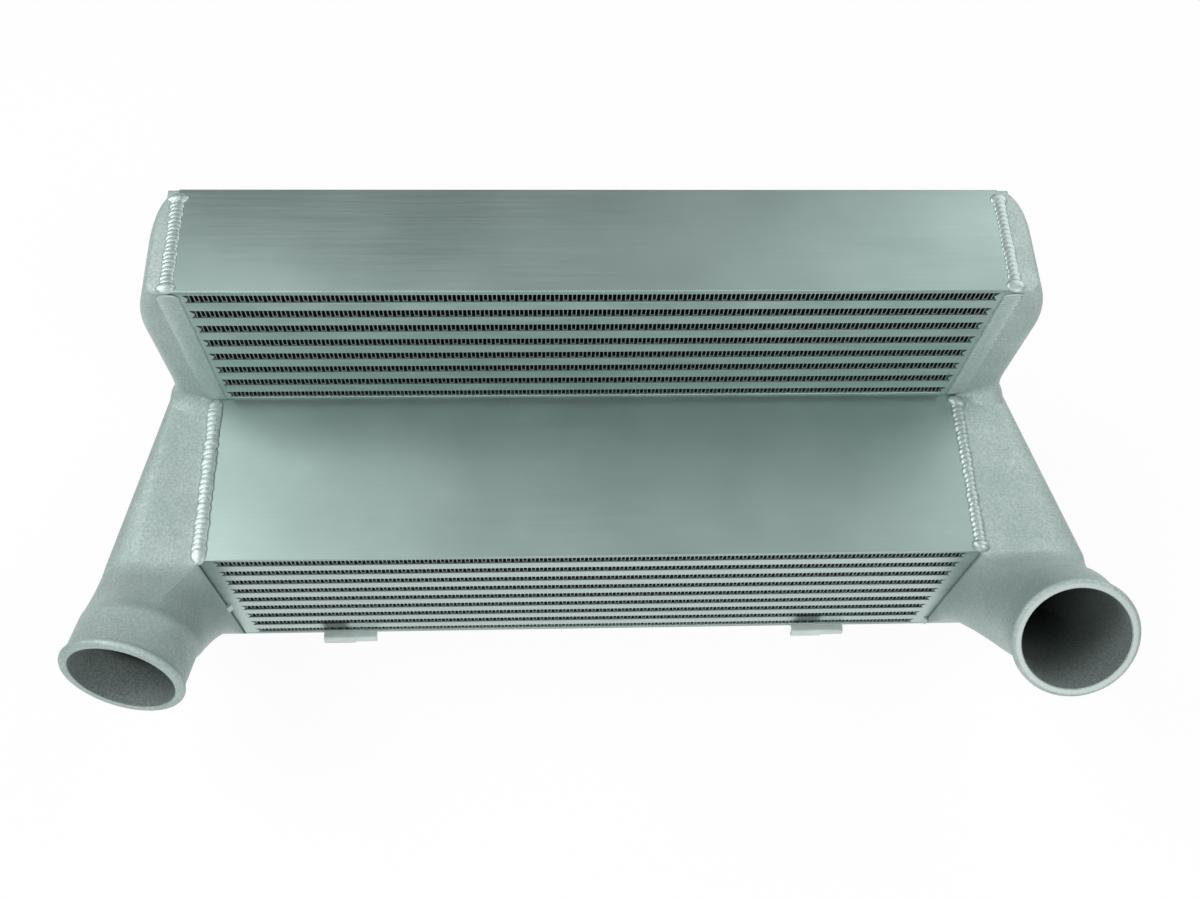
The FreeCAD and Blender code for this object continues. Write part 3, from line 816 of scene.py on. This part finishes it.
def bead_tree():
    """A weld bead along X: overlapping flat drops that lean on one another, fuller at both ends."""
    tree, given, out = new_group("rippled weld bead", [
        ("Ripples", COUNT), ("Pitch", FLOAT), ("Width", FLOAT), ("Height", FLOAT), ("Lean", FLOAT),
        ("Reach", FLOAT), ("Slant", FLOAT), ("Uneven", FLOAT), ("End swell", FLOAT), ("Seed", COUNT),
        ("Material", "NodeSocketMaterial")])
    value = given.outputs

    def anyhow(low, high, seed):
        """A number for each drop, drawn between two values."""
        made = add(tree, "FunctionNodeRandomValue", {2: low, 3: high, "Seed": seed}, data_type="FLOAT")
        return made.outputs[1]

    step = add(tree, "ShaderNodeCombineXYZ", {0: value["Pitch"]})
    line = add(tree, "GeometryNodeMeshLine", {"Count": value["Ripples"], "Offset": step.outputs[0]})
    drop = add(tree, "GeometryNodeMeshUVSphere", {"Segments": 18, "Rings": 10, "Radius": 0.5})
    smooth = add(tree, "GeometryNodeSetShadeSmooth", {"Geometry": drop.outputs[0]})
    index = add(tree, "GeometryNodeInputIndex").outputs[0]
    # 1 for the first and the last drop, 0 for the others
    at_last = maths(tree, "GREATER_THAN", index, maths(tree, "SUBTRACT", value["Ripples"], 1.5))
    at_end = maths(tree, "ADD", at_last, maths(tree, "LESS_THAN", index, 0.5))
    swell = maths(tree, "MULTIPLY_ADD", at_end, value["End swell"], 1.0)
    least = maths(tree, "SUBTRACT", 1.0, value["Uneven"])
    vary = anyhow(least, maths(tree, "ADD", 1.0, value["Uneven"]), value["Seed"])
    length = maths(tree, "MULTIPLY", value["Pitch"], value["Reach"])
    wide = maths(tree, "MULTIPLY", maths(tree, "MULTIPLY", value["Width"], vary), swell)
    # Half of each drop lies below the surface
    tall = maths(tree, "MULTIPLY", maths(tree, "MULTIPLY", value["Height"], 2.0), swell)
    size = add(tree, "ShaderNodeCombineXYZ", {0: length, 1: wide, 2: tall})
    least_yaw = maths(tree, "SUBTRACT", value["Slant"], value["Uneven"])
    most_yaw = maths(tree, "ADD", value["Slant"], value["Uneven"])
    yaw = anyhow(least_yaw, most_yaw, maths(tree, "ADD", value["Seed"], YAW_SEED))
    turn = add(tree, "ShaderNodeCombineXYZ", {1: value["Lean"], 2: yaw})
    drops = add(tree, "GeometryNodeInstanceOnPoints", {
        "Points": line.outputs[0], "Instance": smooth.outputs[0], "Rotation": turn.outputs[0],
        "Scale": size.outputs[0]})
    real = add(tree, "GeometryNodeRealizeInstances", {0: drops.outputs[0]})
    coloured = add(tree, "GeometryNodeSetMaterial", {
        "Geometry": real.outputs[0], "Material": value["Material"]})
    tree.links.new(coloured.outputs[0], out.inputs[0])
    return tree


BEAD_TREE = bead_tree()


def lay_bead(name, start, end, normal, look):
    """A rippled bead between two places, in place of the plain one of the solids."""
    start, end, normal = Vector(start), Vector(end), Vector(normal)
    along = (end - start).normalized()
    ripples = max(int((end - start).length / look["pitch"]), 2)
    piece = run_group(BEAD_TREE, f"{name}_ripples", {
        "Ripples": ripples, "Pitch": (end - start).length / ripples * MM, "Width": look["width"] * MM,
        "Height": look["height"] * MM, "Reach": look["reach"], "Lean": look["lean"], "Slant": look["slant"],
        "Uneven": look["uneven"], "End swell": look["swell"], "Seed": look["seed"], "Material": WELD})
    across = normal.cross(along)
    turn = Matrix((along, across, normal)).transposed().to_4x4()
    piece.data.transform(Matrix.Translation(start * MM) @ turn)
    settle(piece, name)


# Width, height and ripple pitch in millimetres, the reach of a drop in pitches,
# then the lean, slant and unevenness of the ripples and how much fuller the end drops are
WELD_VALUES = ("width", "height", "pitch", "reach", "lean", "slant", "uneven", "swell")
WELD_LOOKS = {
    "top_weld_left": (8.6, 1.3, 3.0, 2.6, -0.26, 0.15, 0.12, 0.5),
    "top_weld_right": (8.0, 1.0, 3.4, 2.6, -0.22, -0.15, 0.08, 0.45),
    "upper_front_weld_left": (15.0, 1.2, 3.8, 3.2, -0.12, 0.0, 0.03, 0.0),
    "upper_front_weld_right": (14.0, 1.3, 2.6, 2.3, -0.3, 0.25, 0.05, 0.0),
    "step_weld_left": (10.5, 1.7, 3.6, 3.6, -0.14, 0.0, 0.12, 0.05),
    "step_weld_right": (8.4, 1.9, 3.6, 2.4, -0.4, -0.35, 0.14, 0.6),
    "rear_weld_left": (9.0, 1.8, 2.8, 2.8, -0.25, 0.0, 0.08, 0.2),
    "rear_weld_right": (9.0, 1.8, 2.8, 2.8, -0.25, 0.0, 0.08, 0.2),
}

# How far each bead's line stays from the two ends of its edge, in millimetres
TOP_GAPS = (3, 5)
UPPER_GAPS = (3, 4)
STEP_GAPS = (4, 3)
REAR_GAPS = (5, 5)
UP, FORE, BACK = (0, 0, 1), (0, -1, 0), (0, 1, 0)

for side, word in ((-1, "left"), (1, "right")):
    x = side * CORE_HALF
    courses = {
        "top_weld": ((x, STEP_FRONT_Y + TOP_GAPS[0], TOP_Z), (x, REAR_Y - TOP_GAPS[1], TOP_Z), UP),
        "upper_front_weld": (
            (x, STEP_FRONT_Y, STEP_Z + UPPER_GAPS[0]), (x, STEP_FRONT_Y, TOP_Z - UPPER_GAPS[1]), FORE),
        "step_weld": (
            (x, FRONT_Y + STEP_GAPS[0], STEP_Z), (x, STEP_FRONT_Y - STEP_GAPS[1], STEP_Z), UP),
        "rear_weld": ((x, REAR_Y, REAR_GAPS[0]), (x, REAR_Y, TOP_Z - REAR_GAPS[1]), BACK),
    }
    for course, (weld, values) in enumerate(courses.items()):
        seed = COURSE_SEEDS * course + side + FIRST_SEED
        look = dict(zip(WELD_VALUES, WELD_LOOKS[f"{weld}_{word}"]), seed=seed)
        lay_bead(f"{weld}_{word}", *values, look)


# Plates

PLATE_EDGE = 0.9
EASE_STEPS = 6


def build_plate(node):
    """A plate whose long upper edges are eased, in place of the sharp one of the solids."""
    low, high = [[c / MM for c in corner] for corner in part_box(node)]
    (x_low, y_low, z_low), (x_high, y_high, z_high) = low, high
    section = [(y_low, z_low)]
    for i in range(EASE_STEPS + 1):
        turn = math.pi / 2 * i / EASE_STEPS
        section.append((y_low + PLATE_EDGE * (1 - math.cos(turn)),
                        z_high - PLATE_EDGE * (1 - math.sin(turn))))
    section += [(y_low + y_high - y, z) for y, z in reversed(section)]
    count = len(section)
    points = [(x, y, z) for x in (x_low, x_high) for y, z in section]
    faces = [[*range(count)], [*range(count, 2 * count)][::-1]]
    faces += [[i, i + count, (i + 1) % count + count, (i + 1) % count] for i in range(count)]
    settle(new_piece(f"{node}_sheet", points, faces, [SHEET]), node)


for plate in ("bottom_plate", "step_plate", "upper_base_plate", "top_plate"):
    build_plate(plate)


# Finish of the solids that stay

def paint(material, *starts):
    """Give one material to every solid whose name begins with one of these words."""
    for name, piece in nodes.items():
        if name.startswith(starts):
            piece.data.materials.clear()
            piece.data.materials.append(material)


paint(STRIP, "left_bracket", "right_bracket")
paint(BAR, "charge_bar", "end_bars")
paint(PARTING_LOWER, "parting_sheets_lower", "charge_fins_lower")
paint(PARTING_UPPER, "parting_sheets_upper", "charge_fins_upper")
paint(WELD, "lower_tack")


# Stage, lamps and camera, in metres

FLOOR_HALF = 4.0
FLOOR_Z = -0.0052
FLOOR_GREY = (0.9, 0.9, 0.9, 1.0)
FLOOR_WHITE = 0.94
SOFT_LIGHT = 0.17
LAMP_AIM = (0.0, 0.0, 0.15)
# Name, place, width and height, and power in watts
LAMPS = (
    ("left softbox", (-1.25, 0.2, 1.7), (1.0, 1.2), 21.0),
    ("right softbox", (1.35, 1.0, 1.55), (1.5, 1.8), 18.0),
    ("front softbox", (0.2, -2.0, 0.7), (3.0, 1.2), 15.0),
    ("high left softbox", (-0.9, -0.95, 1.7), (0.7, 0.6), 7.0),
    ("high right softbox", (0.85, -0.95, 1.8), (0.7, 0.6), 9.0),
)
# In millimetres
SENSOR_WIDTH, LENS = 36.0, 38.32
# The camera's place, and its directions to the right, down and forward
CAMERA_PLACE = (-0.0354, -0.4101, 0.9472)
CAMERA_RIGHT = (0.9989, -0.0283, 0.0375)
CAMERA_DOWN = (-0.0088, -0.8977, -0.4406)
CAMERA_FORWARD = (0.0461, 0.4398, -0.8969)


def build_floor():
    """White floor just under the bracket lips, with a faint shadow, white in the metal too."""
    corners = [(x * FLOOR_HALF, y * FLOOR_HALF, FLOOR_Z) for x, y in ((-1, -1), (1, -1), (1, 1), (-1, 1))]
    mesh = bpy.data.meshes.new("floor")
    mesh.from_pydata(corners, [], [(0, 1, 2, 3)])
    material = bpy.data.materials.new("white studio floor")
    material.use_nodes = True
    tree = material.node_tree
    tree.nodes.clear()
    matt = add(tree, "ShaderNodeBsdfDiffuse", {"Color": FLOOR_GREY})
    glow = add(tree, "ShaderNodeEmission", {"Color": WHITE, "Strength": 1.0})
    path = add(tree, "ShaderNodeLightPath")
    seen = maths(tree, "MAXIMUM", path.outputs["Is Camera Ray"], path.outputs["Is Glossy Ray"])
    seen = maths(tree, "MAXIMUM", seen, path.outputs["Is Transmission Ray"])
    share = maths(tree, "MULTIPLY", seen, FLOOR_WHITE)
    mixed = add(tree, "ShaderNodeMixShader", {0: share, 1: matt.outputs[0], 2: glow.outputs[0]})
    add(tree, "ShaderNodeOutputMaterial", {"Surface": mixed.outputs[0]})
    mesh.materials.append(material)
    floor = bpy.data.objects.new("floor", mesh)
    bpy.context.scene.collection.objects.link(floor)


def build_world():
    """Even pale surroundings, white where the camera sees them."""
    world = bpy.data.worlds.new("studio")
    bpy.context.scene.world = world
    world.use_nodes = True
    tree = world.node_tree
    tree.nodes.clear()
    seen = add(tree, "ShaderNodeLightPath").outputs["Is Camera Ray"]
    soft = add(tree, "ShaderNodeBackground", {"Color": WHITE, "Strength": SOFT_LIGHT})
    white = add(tree, "ShaderNodeBackground", {"Color": WHITE, "Strength": 1.0})
    mixed = add(tree, "ShaderNodeMixShader", {0: seen, 1: soft.outputs[0], 2: white.outputs[0]})
    add(tree, "ShaderNodeOutputWorld", {"Surface": mixed.outputs[0]})


def lamp(name, place, size, power):
    """Soft lamp that points at the middle of the part."""
    light = bpy.data.lights.new(name, "AREA")
    light.shape = "RECTANGLE"
    light.size, light.size_y = size
    light.energy = power
    made = bpy.data.objects.new(name, light)
    made.location = place
    made.rotation_euler = (Vector(LAMP_AIM) - Vector(place)).to_track_quat("-Z", "Y").to_euler()
    bpy.context.scene.collection.objects.link(made)


def build_camera():
    """The camera at the photograph's viewing angle."""
    camera = bpy.data.objects.new("camera", bpy.data.cameras.new("camera"))
    camera.data.sensor_width = SENSOR_WIDTH
    camera.data.lens = LENS
    camera.data.clip_start = 0.01
    camera.data.clip_end = 50.0
    columns = (Vector(CAMERA_RIGHT), -Vector(CAMERA_DOWN), -Vector(CAMERA_FORWARD))
    turn = Matrix(columns).transposed()
    camera.matrix_world = Matrix.Translation(Vector(CAMERA_PLACE)) @ turn.to_4x4()
    bpy.context.scene.collection.objects.link(camera)
    bpy.context.scene.camera = camera


build_floor()
build_world()
for values in LAMPS:
    lamp(*values)
build_camera()
bpy.context.scene.view_settings.view_transform = "Standard"
